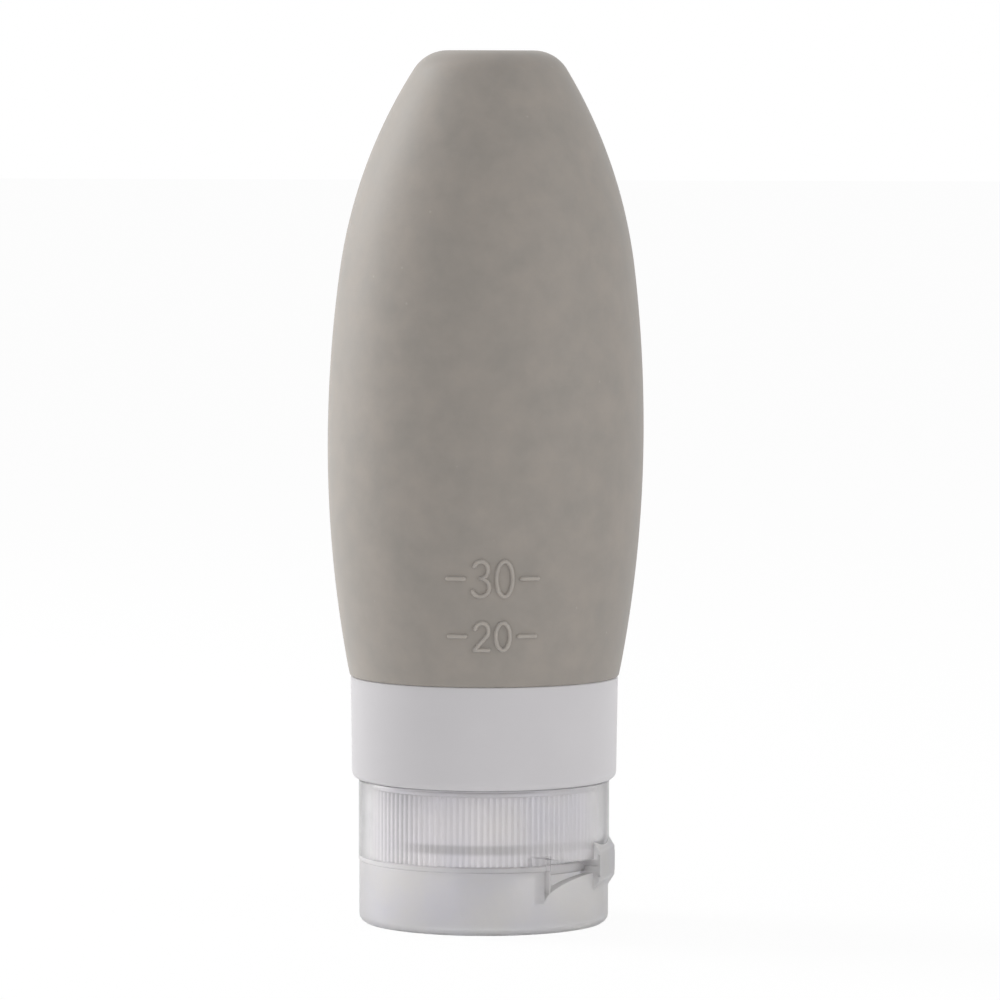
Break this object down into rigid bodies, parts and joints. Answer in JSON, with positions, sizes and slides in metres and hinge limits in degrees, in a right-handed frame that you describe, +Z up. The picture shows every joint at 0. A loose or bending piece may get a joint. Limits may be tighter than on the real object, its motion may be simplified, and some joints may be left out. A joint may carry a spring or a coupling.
{
  "type": "travel squeeze bottle",
  "caption": "Soft travel squeeze bottle standing on a flip-top screw cap, with a slit valve, a living hinge and a collar that clamps the mouth.",
  "frame": {"origin": "centre of the lid's flat outer face, on which the bottle stands", "axes": "+Z up along the bottle's axis, from the lid to the closed end of the soft body; -Y is the front, with the capacity mark's place, and the hinge is 74 degrees round from the front towards +X"},
  "size_m": [0.0456, 0.0456, 0.1264],
  "materials": {
    "taupe_silicone": "matte, soft to the touch",
    "milky_plastic": "milky satin",
    "natural_plastic": "natural, translucent satin",
    "clear_cap": "clear, lightly frosted",
    "clear_silicone": "natural translucent"
  },
  "bodies": {
    "cap": {"cap_shell": "clear_cap", "inner_cap": "natural_plastic", "slit_valve": "clear_silicone", "valve_ring": "natural_plastic", "hinge_film": "clear_cap"},
    "lid": {"lid": "clear_cap"},
    "seal": {"neck_gasket": "clear_silicone"},
    "bottle": {"neck_insert": "natural_plastic", "collar": "milky_plastic", "silicone_body": "taupe_silicone"}
  },
  "joints": [
    {"name": "lid_hinge", "type": "hinge", "parent": "cap", "child": "lid", "pos_m": [0.01802, -0.00517, 0.00915], "axis": [-0.2756, -0.9613, 0], "range_deg": [0, 180], "deforming": ["hinge_film"]},
    {"name": "bottle_lift", "type": "slide", "parent": "cap", "child": "seal", "axis": [0, 0, 1], "range_m": [0, 0.00635]},
    {"name": "bottle_turn", "type": "hinge", "parent": "seal", "child": "bottle", "pos_m": [0, 0, 0.0139], "axis": [0, 0, 1], "range_deg": [0, 720]}
  ],
  "couplings": [
    {"joint": "bottle_lift", "follows": "bottle_turn", "m_per_rad": 0.00050532}
  ]
}
